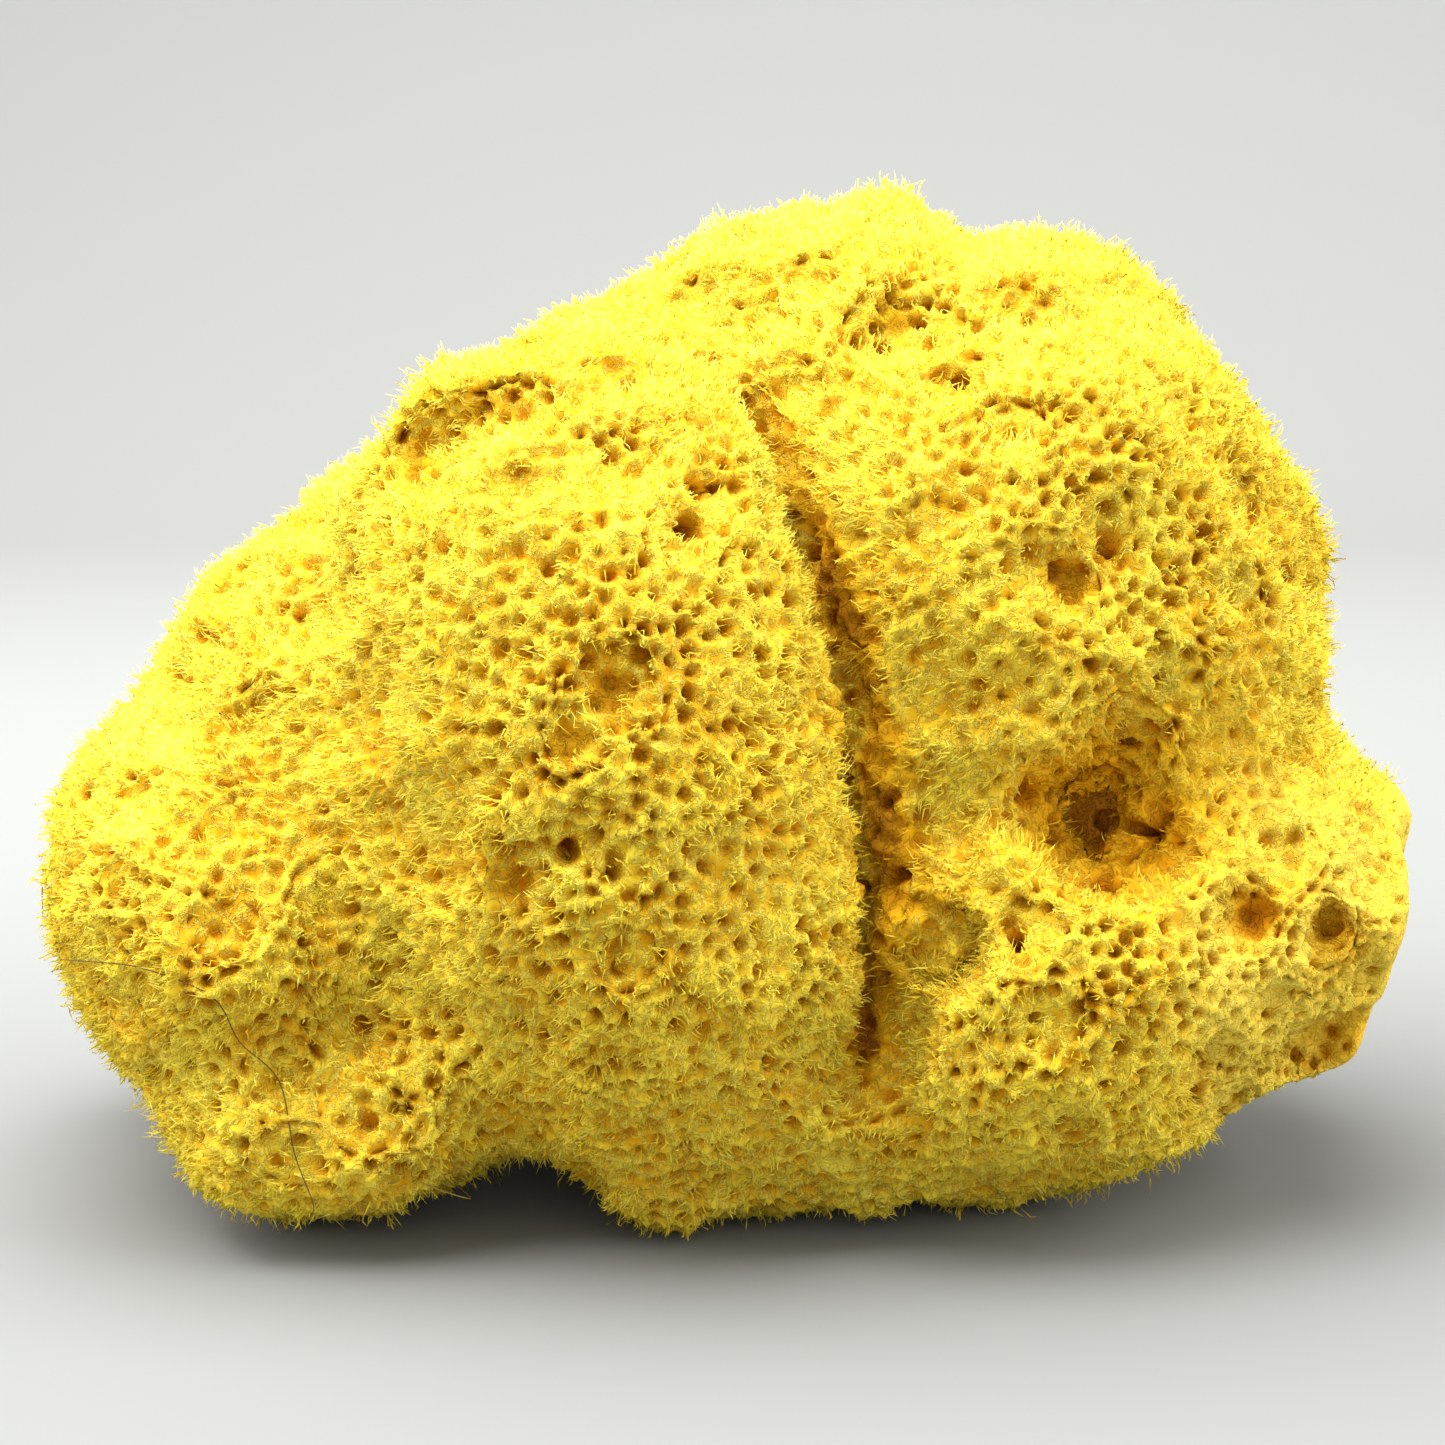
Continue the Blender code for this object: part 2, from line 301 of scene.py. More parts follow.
# Short down grows under and between the tufts, on the felt and on the slices too.
DOWN_LENGTH = (0.4 * MM, 1.0 * MM)
DOWN_RADIUS = (0.045 * MM, 0.09 * MM)
DOWN_PER_PIECE = 34000
DOWN_COMBED = 0.8
DOWN_TANGLED = 0.6
DOWN_SCATTER = 0.35
DOWN_OFF_PORES = 0.6
DOWN_FEWER_ON_SLICES = 0.6
DOWN_DENSER_ON_FELT = 0.8
DOWN_SHORTER_ON_FELT = 0.45
DOWN_SHORTER_ON_SLICES = 0.3
ROOT_DEPTH = 0.3 * MM

# A strand has three sides. A wisp has corners at its root, three round its elbow and its tip, and a hair of
# the down has three round its root and its tip. After the faces comes each corner's share of the height.
STRAND_SIDES = 3
WISP_FACES = np.array(((0, 2, 1), (0, 3, 2), (0, 1, 3), (1, 2, 4), (2, 3, 4), (3, 1, 4)))
WISP_RISE = (0, 0.5, 0.5, 0.5, 1)
DOWN_FACES = np.array(((0, 2, 1), (0, 1, 3), (1, 2, 3), (2, 0, 3)))
DOWN_RISE = (0.2, 0.2, 0.2, 1)

# A strand's shading leans from its own facing towards the skin's, so that the strands glow as a mass.
OWN_FACING = 0.5
SKIN_FACING = 0.7

# A way that no strand or thread runs along exactly, to tell the sides round it.
ASKEW = (0.31, 0.52, 0.79)

# Loose threads that cling to the sponge: points along each, in the photograph's pixels, which fall on the
# skin that the camera sees there, and how far off the skin each point stands.
PHOTO_WIDTH = 1445
LOOSE_HAIR = (
    ((62, 958), 0.6), ((100, 957), 1.6), ((150, 968), 1.3), ((205, 1005), 1.8), ((240, 1048), 1.4),
    ((270, 1090), 1.8), ((296, 1150), 1.4), ((312, 1195), 1.6), ((314, 1212), 0.6),
)
LINT = (((58, 878), 0.2), ((52, 890), 1.2), ((56, 899), 2.2), ((50, 908), 1.6), ((56, 917), 0.8))
CURLED_FIBRE = (
    ((418, 1160), 0.2), ((424, 1176), 2.0), ((440, 1186), 3.2), ((458, 1180), 2.6), ((462, 1166), 1.8),
    ((452, 1160), 1.4), ((444, 1168), 1.8),
)
HAIR_RADIUS = 0.06 * MM
THREAD_STEPS = 6
THREAD_SIDES = 6
THREAD_TAPER = 3
THREAD_TIP = 0.05

# The colours of the skin, from low down, darker there as painted shade between the ridges, to the ridges'
# crests, of felt, of the strands in its mat, and of the painted shade in hollows, ochre and then brown.
SKIN_LOW_PAINTED_SHADE = (0.75, 0.39, 0.003)
SKIN_CREST = (0.95, 0.76, 0.055)
SKIN_FELT = (0.84, 0.62, 0.07)
SKIN_STRAND = (0.96, 0.81, 0.13)
SKIN_HOLLOW_PAINTED_SHADE = (0.74, 0.38, 0.003)
SKIN_DEEP_HOLLOW_PAINTED_SHADE = (0.2, 0.05, 0.001)

# The colours of the fibres, from root to tip, the root darker as painted shade near the skin and the tip
# paler, partly its own colour and partly a painted highlight, and of the painted shade in hollows, ochre
# and then brown.
FIBRE_ROOT_PAINTED_SHADE = (0.78, 0.44, 0.004)
FIBRE_MIDDLE = (0.96, 0.78, 0.055)
FIBRE_TIP_AND_HIGHLIGHT = (0.98, 0.9, 0.2)
FIBRE_HOLLOW_PAINTED_SHADE = (0.74, 0.42, 0.004)
FIBRE_DEEP_HOLLOW_PAINTED_SHADE = (0.42, 0.15, 0.001)

# Factors that multiply those colours: patches and a tone from strand to strand, both at random, and painted
# shade with depth in a pore and on fibres low down between the ridges.
UNSHADED = (1.0, 1.0, 1.0)
PATCH_SHADE = (0.93, 0.86, 0.65)
PORE_WALL_PAINTED_SHADE = (0.82, 0.63, 0.22)
PORE_FLOOR_PAINTED_SHADE = (0.36, 0.12, 0.02)
DULL_STRAND_SHADE = (0.88, 0.8, 0.5)
LOW_FIBRE_PAINTED_SHADE = (0.85, 0.72, 0.35)

# The colours of the loose threads, how much darker their dark parts are, and those of the floor and wall.
LOOSE_HAIR_COLOUR = (0.16, 0.1, 0.02)
LINT_COLOUR = (0.5, 0.5, 0.48)
CURLED_FIBRE_COLOUR = (0.55, 0.4, 0.06)
THREAD_DARKENS = 0.6
# The floor's darker colour and the wall's paler one are painted shade and painted light, evening out how
# lit each is.
FLOOR_COLOUR = (0.225, 0.23, 0.225)
WALL_COLOUR = (0.46, 0.465, 0.45)

# The sweep behind the sponge: half its width, its front edge, where it bends up, in what radius and how
# high.
SWEEP_HALF_WIDTH = 1.6
SWEEP_FRONT = -1.2
SWEEP_BEND = 0.55
SWEEP_RADIUS = 0.35
SWEEP_HEIGHT = 1.8
SWEEP_STEPS = 16

# The textures' scales, in features per metre, the heights of their bumps, and the roughness from low to
# high. The mat is the skin's own fine fibre.
MAT_SCALE = 850
MAT_STRAND_WIDTH = 0.07
MAT_STRAND_SHARE = 0.8
MAT_BUMP = 0.25 * MM
PATCH_SCALE = 90
SKIN_ROUGHNESS = (0.8, 1.0)
FIBRE_SCALE = 3000
FIBRE_BUMP = 0.03 * MM
FIBRE_ROUGHNESS = (0.65, 0.9)
THREAD_MOTTLE_SCALE = 400
THREAD_SCALE = 4000
THREAD_BUMP = 0.01 * MM
THREAD_ROUGHNESS = (0.3, 0.6)
PAPER_ROUGHNESS = 0.7

# How deep a hollow is when its painted shade is all ochre, between which depths that painted shade turns
# brown, and how far these colours take over from the skin's and the fibres' own.
ALL_OCHRE = 0.6
TO_BROWN = (0.5, 0.95)
SKIN_TAKEN_OVER = 0.94
FIBRES_TAKEN_OVER = 0.8

# The soft lights: a name, its place, what it points at, its two sides and its power in watts. Then the
# even light of the world round them.
LIGHTS = (
    ("top softbox", (-0.1, -0.02, 0.5), (0, 0, 0.05), (0.55, 0.55), 8),
    ("left panel", (-0.75, -0.1, 0.5), (0, 0, 0.05), (0.7, 0.7), 6),
    ("right panel", (0.75, -0.05, 0.4), (0, 0, 0.05), (0.8, 0.8), 8),
    ("front fill", (0.1, -0.9, 0.4), (0, 0, 0.04), (0.9, 0.7), 1.4),
)
WORLD_LIGHT = 0.57


def rounded_step(low, high, value):
    """0 below low, 1 above high, and smooth between them."""
    share = np.clip((value - low) / (high - low), 0, 1)
    return share * share * (3 - 2 * share)


def corner_numbers(corners, seed):
    """A number from -1 to 1 for each whole-number corner of a lattice, always the same for a corner."""
    mixed = (corners @ np.array(LATTICE_PRIMES) + seed * 40503) & 0x7FFFFFFF
    mixed = ((mixed ^ (mixed >> 13)) * 1274126177) & 0x7FFFFFFF
    mixed = ((mixed ^ (mixed >> 15)) * 461845907) & 0x7FFFFFFF
    return mixed / 0x3FFFFFFF - 1


def smooth_noise(points, size, seed):
    """Smooth noise from -1 to 1 with features of the given size."""
    scaled = points / size + 1000
    corner = np.floor(scaled).astype(np.int64)
    share = scaled - corner
    share = share * share * (3 - 2 * share)
    total = np.zeros(len(points))
    for step in np.ndindex(2, 2, 2):
        weight = np.prod(np.where(step, share, 1 - share), axis=1)
        total += weight * corner_numbers(corner + step, seed)
    return total


def noise_vectors(points, size, seed):
    return np.stack([smooth_noise(points, size, seed + axis) for axis in range(3)], axis=1)


def unit(vectors):
    return vectors / np.maximum(np.linalg.norm(vectors, axis=1), 1e-12)[:, None]


def distance_to(points, place):
    """How far each point is from a place in millimetres."""
    return np.linalg.norm(points - np.array(place) * MM, axis=1)


def link(name, data):
    """An object of the mesh, light or camera, in the scene."""
    obj = bpy.data.objects.new(name, data)
    bpy.context.scene.collection.objects.link(obj)
    return obj


def evaluated_mesh(obj):
    bpy.context.view_layer.update()
    graph = bpy.context.evaluated_depsgraph_get()
    return bpy.data.meshes.new_from_object(obj.evaluated_get(graph))


def positions_of(mesh):
    positions = np.empty(len(mesh.vertices) * 3, np.float32)
    mesh.vertices.foreach_get("co", positions)
    return positions.reshape(-1, 3).astype(float)


def normals_of(mesh):
    normals = np.empty(len(mesh.vertices) * 3, np.float32)
    mesh.vertex_normals.foreach_get("vector", normals)
    return normals.reshape(-1, 3).astype(float)


def faces_of(mesh):
    """The corners of a mesh that is all quads."""
    corners = np.empty(len(mesh.polygons) * 4, np.int32)
    mesh.loops.foreach_get("vertex_index", corners)
    return corners.reshape(-1, 4)


def set_positions(mesh, positions):
    mesh.vertices.foreach_set("co", positions.astype(np.float32).ravel())
    mesh.update()


def set_attribute(mesh, name, values):
    mesh.attributes.new(name, "FLOAT", "POINT").data.foreach_set("value", values.astype(np.float32))


def add_smoothing(obj, rounds):
    smoother = obj.modifiers.new("smooth", "SMOOTH")
    smoother.factor = 0.5
    smoother.iterations = rounds


def fine_skin():
    """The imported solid's skin again in fine quads, with its facets rounded off."""
    skin = link("fine skin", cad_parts["sponge"].data.copy())
    remesher = skin.modifiers.new("quads", "REMESH")
    remesher.mode = "VOXEL"
    remesher.voxel_size = CELL
    add_smoothing(skin, ROUNDING)
    mesh = evaluated_mesh(skin)
    bpy.data.objects.remove(skin)
    return mesh


def softened(mesh, rounds):
    """Where the mesh's points lie after so many rounds of smoothing."""
    copy = link("softened", mesh.copy())
    add_smoothing(copy, rounds)
    positions = positions_of(evaluated_mesh(copy))
    bpy.data.objects.remove(copy)
    return positions


def trimmed_share(points):
    """1 on the trimmed slices, falling to 0 a little way off them."""
    share = np.zeros(len(points))
    for point, facing in SLICES:
        facing = np.array(Vector(facing).normalized())
        distance = np.abs((points - np.array(point) * MM) @ facing)
        share = np.maximum(share, np.clip(2 - distance / TRIMMED_WITHIN, 0, 1))
    return share


def felt_share(points):
    """1 in the middle of the felted patch, falling to 0 at its edge."""
    distance = np.linalg.norm(points - np.array(FELT_CENTRE), axis=1)
    ragged = distance + FELT_RAGGED * smooth_noise(points, *FELT_NOISE)
    return 1 - rounded_step(FELT_INNER_SHARE * FELT_REACH, FELT_REACH, ragged)


def tree_of(points):
    tree = KDTree(len(points))
    for index, point in enumerate(points):
        tree.insert(point, index)
    tree.balance()
    return tree


def spread(points, spacing, random):
    """Indices of points picked at random, none closer together than the spacing at the point."""
    tree = tree_of(points)
    free = np.ones(len(points), bool)
    picked = []
    for index in random.permutation(len(points)):
        if free[index]:
            picked.append(index)
            for _, near, _ in tree.find_range(points[index], spacing[index]):
                free[near] = False
    return np.array(picked)


def nearest_three(points, sites):
    """The index of the nearest site to each point, and the distances to the nearest three."""
    tree = tree_of(sites)
    nearest = np.empty(len(points), int)
    distances = np.empty((len(points), 3))
    for index, point in enumerate(points):
        found = tree.find_n(point, 3)
        nearest[index] = found[0][1]
        distances[index] = [entry[2] for entry in found]
    return nearest, distances


def off_line(points, line):
    """How far each point is from a line through places in millimetres."""
    line = np.array(line) * MM
    steps = np.linspace(0, len(line) - 1, PLACES_ALONG_LIP)
    places = np.stack([np.interp(steps, range(len(line)), line[:, axis]) for axis in range(3)], axis=1)
    return np.min([np.linalg.norm(points - place, axis=1) for place in places], axis=0)


def near_lip(points):
    """1 on the lip along the fold, falling to 0 away from it."""
    return np.exp(-((off_line(points, LIP) / LIP_REACH) ** 2))


def in_gap(points):
    """1 in the gap behind the lip, falling to 0 away from it and towards its top."""
    middle = np.array(LIP) + np.array(INTO_GAP)
    distance = off_line(points, middle) / GAP_REACH + GAP_RAGGED * smooth_noise(points, *GAP_NOISE)
    fading = 1 - GAP_FADED * rounded_step(*GAP_FADES, points[:, 2])
    return np.exp(-(np.maximum(distance, 0) ** 3)) * fading


def beside_fold(points):
    """1 on the strip of the right lobe along the fold, falling to 0 away from it."""
    middle = np.array(LIP) + np.array(BESIDE_FOLD)
    return np.exp(-((off_line(points, middle) / BESIDE_REACH) ** 2))


def combed(points):
    """The way that fibres lean at each point, apart from the skin's own outward direction."""
    lean = np.zeros((len(points), 3))
    for place, reach, way in COMBS:
        distance = distance_to(points, place) / (reach * MM)
        lean += np.exp(-(distance ** 2))[:, None] * np.array(way)
    to_vent = np.array(VENT) - points
    distance = np.linalg.norm(to_vent, axis=1) / VENT_REACH
    lean += VENT_LEAN * np.exp(-(distance ** 2))[:, None] * unit(to_vent)
    over_gap = LIP_LEAN * near_lip(points) - BESIDE_LEAN * beside_fold(points)
    lean += over_gap[:, None] * np.array((1, 0, 0))
    return lean


def stained(points):
    """1 in the gap and in the middle of each recess given painted shade, falling to 0 away from them."""
    share = in_gap(points)
    for place, reach, strength in PAINTED_SHADE_SPOTS:
        distance = distance_to(points, place) / (reach * MM)
        distance = distance + PAINTED_SHADE_RAGGED * smooth_noise(points, *PAINTED_SHADE_NOISE)
        share = np.maximum(share, strength * np.exp(-(distance ** 2)))
    return share


def pore_sites(points, normals, felt, trimmed, random):
    """Where the pores sit, with their radii and depths. Some are grown over, and some are wide."""
    spacing = PORE_SPACING + (FELT_SPACING - PORE_SPACING) * felt
    uneven = SPACING_VARIES * smooth_noise(points, *SPACING_NOISE)
    spacing = spacing * (1 + uneven + TRIMMED_SPACING * trimmed)
    sites = spread(points, spacing, random)
    radii = random.uniform(*PORE_RADIUS, len(sites)) * (1 - FELT_NARROWS * felt[sites])
    depths = random.uniform(*PORE_DEPTH, len(sites))
    on_flank = np.exp(-(distance_to(points[sites], FLANK[0]) / FLANK_CLOSES_WITHIN) ** 2)
    open_share = OPEN_SHARE + OPEN_VARIES * smooth_noise(points[sites], *OPEN_NOISE)
    open_share = np.clip(open_share, LEAST_OPEN, 1) * (1 - FLANK_CLOSES * on_flank)
    open_share *= 1 - BESIDE_FOLD_CLOSES * beside_fold(points[sites])
    open_share *= 1 - UPWARD_CLOSES * rounded_step(*UPWARD, normals[sites, 2])
    draw = random.uniform(0, 1, len(sites))
    depths = depths * open_share * np.where(draw < CLOSED_PORES, CLOSED_DEPTH, 1)
    radii = radii * np.where(draw > 1 - WIDE_PORES, WIDENED, 1)
    return sites, radii, depths


def raised_backs(points):
    """How far the backs of some hollows come forward, with a rough relief of their own."""
    lift = np.zeros(len(points))
    for place, reach in RAISED_BACKS:
        place = np.array(place) * MM
        across, upward = (points - place)[:, (0, 2)].T
        share = 1 - rounded_step(*BACK_EDGE, np.hypot(across, upward) / (reach * MM))
        behind = np.clip(points[:, 1] - place[1], 0, None) * (points[:, 1] < 0)
        relief = BACK_RELIEF * smooth_noise(points, *BACK_NOISE) * np.minimum(behind / RELIEF_FROM, 1)
        lift = np.maximum(lift, share * ((1 - BACK_KEPT) * behind + relief))
    return lift


def sink_holes(points, normals, depth_share):
    """Sinks the single holes, and notes their depth."""
    for place, radius, depth in HOLES:
        distance = distance_to(points, place)
        inward = -normals[distance.argmin()]
        ragged = distance * (1 + HOLE_RAGGED * smooth_noise(points, *HOLE_NOISE))
        bowl = 1 - rounded_step(*HOLE_PROFILE, ragged / (radius * MM))
        points += inward * (depth * MM * bowl)[:, None]
        depth_share[:] = np.maximum(depth_share, bowl * min(depth / FULLY_DEEP, 1))


def skin_height(points, distances, natural, felt):
    """How high the ridges, peaks and uneven parts of the skin stand."""
    ridge = np.exp(-(((distances[:, 1] - distances[:, 0]) / RIDGE_WIDTH) ** 2))
    peak = np.exp(-(((distances[:, 2] - distances[:, 0]) / PEAK_WIDTH) ** 2))
    patches = rounded_step(*PEAK_PATCHES, smooth_noise(points, *PEAK_NOISE))
    height = RIDGE_HEIGHT * ridge + PEAK_HEIGHT * peak * patches
    swell = SWELL_HEIGHT * smooth_noise(points, *SWELL_NOISE)
    height += swell + LUMP_HEIGHT * smooth_noise(points, *LUMP_NOISE)
    height *= natural * (1 - FELT_EVENS * felt)
    grained = (1 - FELT_EVENS * felt) * (GRAIN_ON_SLICES + (1 - GRAIN_ON_SLICES) * natural)
    return height + grained * GRAIN_HEIGHT * MM * smooth_noise(points, *GRAIN_NOISE)


def fibre_chance(points, normals, depth_share, crest, stain, hollow):
    """How likely a fibre is to grow at each point."""
    dense = 1 + DENSER_AT_LIP * near_lip(points) + DENSER_BESIDE_FOLD * beside_fold(points)
    on_walls, wall_depth = ON_PORE_WALLS
    chance = (depth_share < OUTSIDE_PORES) * (OFF_RIDGES + (1 - OFF_RIDGES) * crest) * dense
    chance += on_walls * (depth_share < wall_depth)
    fewer_below = 1 - FEWER_BELOW * rounded_step(*DOWNWARD, -normals[:, 2])
    chance *= fewer_below * (1 - FEWER_BEHIND * rounded_step(*BACKWARD, normals[:, 1]))
    faster, most = BARE_IN_PAINTED_SHADE
    bare_hollows = BARE_IN_HOLLOWS * rounded_step(*BARE_HOLLOWS, hollow)
    bare = np.maximum(np.minimum(faster * stain, most), bare_hollows)
    return chance * (1 - bare * (1 - near_lip(points)))


def shape_skin(mesh):
    """Sinks the pores, raises the ridges between them, and returns what the fibres need to know."""
    random = np.random.default_rng(SEED)
    points, normals = positions_of(mesh), normals_of(mesh)
    lift = raised_backs(points)
    trimmed = trimmed_share(points)
    natural = 1 - trimmed
    felt = felt_share(points)
    to_form = softened(mesh, BROAD_FORM) - points
    below_form = (to_form * normals).sum(axis=1)
    shallow = 1 - rounded_step(*FILLED_UP_TO, below_form)
    # Painted shade in recesses and the gap, where the skin is also left unfilled and mostly bare of fibres.
    stain = stained(points)
    filled = FILLED_SHARE * np.maximum(below_form, 0) * shallow * natural * (1 - stain)
    sunk = (below_form + np.linalg.norm(to_form, axis=1)) / 2
    hollow = np.maximum(rounded_step(*HOLLOW_DEPTH, sunk - filled), stain)
    sites, radii, depths = pore_sites(points, normals, felt, trimmed, random)
    warped = points + WARPED * noise_vectors(points, *WARP_NOISE)
    nearest, distances = nearest_three(warped, points[sites])
    radius, depth = radii[nearest], depths[nearest]

    # Points near a pore's rim move along the skin towards it, so that its edge is crisp.
    outward = points - points[sites][nearest]
    outward -= normals * (outward * normals).sum(axis=1)[:, None]
    off_rim = radius - distances[:, 0]
    snap = np.where(np.abs(off_rim) < RIM_PULLS_WITHIN, RIM_PULLS * off_rim, 0)
    points = points + unit(outward) * snap[:, None]
    from_site = distances[:, 0] + snap

    hole = 1 - rounded_step(*PORE_PROFILE, from_site / radius)
    height = skin_height(points, distances, natural, felt)
    crest = rounded_step(*CREST_HEIGHTS, height)
    filled = filled + GAP_FILLED * in_gap(points)
    rise = height - depth * hole + filled - UNDER_TIPS * natural
    points = points + normals * rise[:, None]
    depth_share = depth * hole / PORE_DEPTH[1]
    points[:, 1] -= lift
    sink_holes(points, normals, depth_share)
    set_positions(mesh, points)
    values = (depth_share, np.maximum(trimmed, felt), hollow, crest)
    for name, value in zip(SKIN_ATTRIBUTES, values):
        set_attribute(mesh, name, value)
    most_depth, least_crest = RIDGE_TOPS
    return {
        "points": points,
        "outward": normals,
        "fibrous": fibre_chance(points, normals, depth_share, crest, stain, hollow),
        "felt": felt,
        "trimmed": trimmed,
        "hollow": hollow,
        "crest": crest,
        "away": unit(outward),
        "on_ridge": np.flatnonzero((depth_share < most_depth) & (crest > least_crest)),
    }


def mesh_of(name, points, faces):
    """A mesh of faces that all have the same number of corners."""
    mesh = bpy.data.meshes.new(name)
    mesh.vertices.add(len(points))
    mesh.vertices.foreach_set("co", points.astype(np.float32).ravel())
    mesh.loops.add(faces.size)
    mesh.loops.foreach_set("vertex_index", faces.astype(np.int32).ravel())
    mesh.polygons.add(len(faces))
    starts = np.arange(0, faces.size, faces.shape[1], dtype=np.int32)
    mesh.polygons.foreach_set("loop_start", starts)
    mesh.update(calc_edges=True)
    mesh.shade_smooth()
    return mesh


def parted(mesh):
    """The skin in meshes from front to back, each of which keeps the whole skin's normals."""
    points, normals = positions_of(mesh), normals_of(mesh)
    corners = faces_of(mesh)
    back = points[corners].mean(axis=1)[:, 1]
    partings = np.quantile(back, np.linspace(0, 1, len(SKIN_PIECES) + 1)[1:-1])
    slab = np.searchsorted(partings, back)
    parts = []
    for number, name in enumerate(SKIN_PIECES):
        used, renumbered = np.unique(corners[slab == number], return_inverse=True)
        part = mesh_of(name, points[used], renumbered.reshape(-1, 4))
        for attribute in SKIN_ATTRIBUTES:
            values = np.empty(len(points), np.float32)
            mesh.attributes[attribute].data.foreach_get("value", values)
            set_attribute(part, attribute, values[used])
        part.normals_split_custom_set_from_vertices(normals[used])
        parts.append(part)
    return parts


def ways_round(along, count):
    """So many even ways round each way along."""
    side = unit(np.cross(along, np.array(ASKEW)))
    other = np.cross(along, side)
    angles = [turn * math.tau / count for turn in range(count)]
    return [side * math.cos(angle) + other * math.sin(angle) for angle in angles]


def strands(name, corners, facing, faces, rise, about):
    """One mesh of many strands with the same faces, from the places and the facing of their corners."""
    count = len(corners)
    points = np.stack(corners, axis=1).reshape(-1, 3)
    every = (np.arange(len(corners[0]))[:, None, None] * count + faces).reshape(-1, 3)
    mesh = mesh_of(name, points, every)
    set_attribute(mesh, "rise", np.tile(rise, len(corners[0])))
    for attribute in ("tone", "hollow", "crest"):
        set_attribute(mesh, attribute, np.repeat(about[attribute], count))
    shading = [OWN_FACING * way + SKIN_FACING * about["outward"] for way in facing]
    mesh.normals_split_custom_set_from_vertices(unit(np.stack(shading, axis=1).reshape(-1, 3)))
    return mesh


def what_is_at(skin, root, random):
    """What the strands with those roots take over from the skin, and a tone of their own."""
    about = {key: skin[key][root] for key in ("hollow", "crest", "outward")}
    about["tone"] = random.uniform(0, 1, len(root))
    return about


def tuft_places(skin, random):
    """Where the tufts stand, and their tips."""
    ridges = skin["on_ridge"]
    spacing = np.full(len(ridges), TUFT_SPACING)
    tufts = ridges[spread(skin["points"][ridges], spacing, random)]
    places, felt = skin["points"][tufts], skin["felt"][tufts]
    wild = SWIRLED * noise_vectors(places, *SWIRL_NOISE) + TANGLED * noise_vectors(places, *TANGLE_NOISE)
    scatter = random.normal(0, TUFT_SCATTER, (len(tufts), 3))
    axis = unit(skin["outward"][tufts] + combed(places) + wild + scatter)
    on_flank = np.exp(-(distance_to(places, FLANK[0]) / (FLANK[1] * MM)) ** 2)
    combed_share = np.maximum(on_flank, beside_fold(places))
    length = TUFT_LENGTH + (COMBED_LENGTH - TUFT_LENGTH) * combed_share
    length += (FELT_LENGTH - length) * felt
    length = length * (LENGTH_SHARE + LENGTH_PATCHES * smooth_noise(places, *LENGTH_NOISE))
    length = length * random.uniform(*LENGTH_VARIES, len(tufts))
    return places, places + axis * length[:, None], length


def grow_wisps(skin):
    """Meshes of wisps that lean together into tufts, short on the felt and none on the trimmed slices."""
    random = np.random.default_rng(SEED + 1)
    places, tuft_tip, length = tuft_places(skin, random)
    tuft_tree = tree_of(places)
    points, outward = skin["points"], skin["outward"]
    chance = skin["fibrous"] * (1 - skin["trimmed"]) * (1 - FELT_THINS * skin["felt"])
    meshes = []
    for name in WISP_PIECES:
        root = random.choice(len(chance), WISPS_PER_PIECE, replace=False, p=chance / chance.sum())
        tuft = np.array([tuft_tree.find(point)[1] for point in points[root]])
        place = points[root] - outward[root] * ROOT_DEPTH
        scatter = random.normal(0, WISP_TIP_SCATTER, (len(root), 3))
        tip = tuft_tip[tuft] + scatter * length[tuft][:, None]
        reach = np.linalg.norm(tip - place, axis=1)
        scatter = random.normal(0, WISP_ELBOW_SCATTER, (len(root), 3))
        elbow = place + 0.5 * (tip - place) + scatter * reach[:, None]
        elbow += outward[root] * (WISP_ARCH * reach)[:, None]
        turns = ways_round(unit(tip - place), STRAND_SIDES)
        radius = random.uniform(*WISP_RADIUS, len(root))
        ring = [elbow + turn * radius[:, None] for turn in turns]
        about = what_is_at(skin, root, random)
        corners, facing = [place, *ring, tip], [outward[root], *turns, unit(tip - elbow)]
        meshes.append(strands(name, corners, facing, WISP_FACES, WISP_RISE, about))
    return meshes


def grow_down(skin):
    """A mesh of short straight hairs all over the skin, the trimmed slices too."""
    random = np.random.default_rng(SEED + 2)
    felt, trimmed = skin["felt"], skin["trimmed"]
    chance = skin["fibrous"] * (1 - DOWN_FEWER_ON_SLICES * trimmed) * (1 + DOWN_DENSER_ON_FELT * felt)
    root = random.choice(len(chance), DOWN_PER_PIECE, replace=False, p=chance / chance.sum())
    points, outward = skin["points"][root], skin["outward"][root]
    lean = DOWN_COMBED * combed(points) + DOWN_TANGLED * noise_vectors(points, *DOWN_NOISE)
    lean = lean + random.normal(0, DOWN_SCATTER, (len(root), 3))
    lean += DOWN_OFF_PORES * skin["away"][root]
    along = unit(outward + lean)
    short = 1 - DOWN_SHORTER_ON_FELT * felt[root] - DOWN_SHORTER_ON_SLICES * trimmed[root]
    length = random.uniform(*DOWN_LENGTH, len(root)) * short
    place = points - outward * ROOT_DEPTH
    turns = ways_round(along, STRAND_SIDES)
    radius = random.uniform(*DOWN_RADIUS, len(root))
    ring = [place + turn * radius[:, None] for turn in turns]
    tip = points + along * length[:, None]
    about = what_is_at(skin, root, random)
    return strands("down", [*ring, tip], [*turns, along], DOWN_FACES, DOWN_RISE, about)


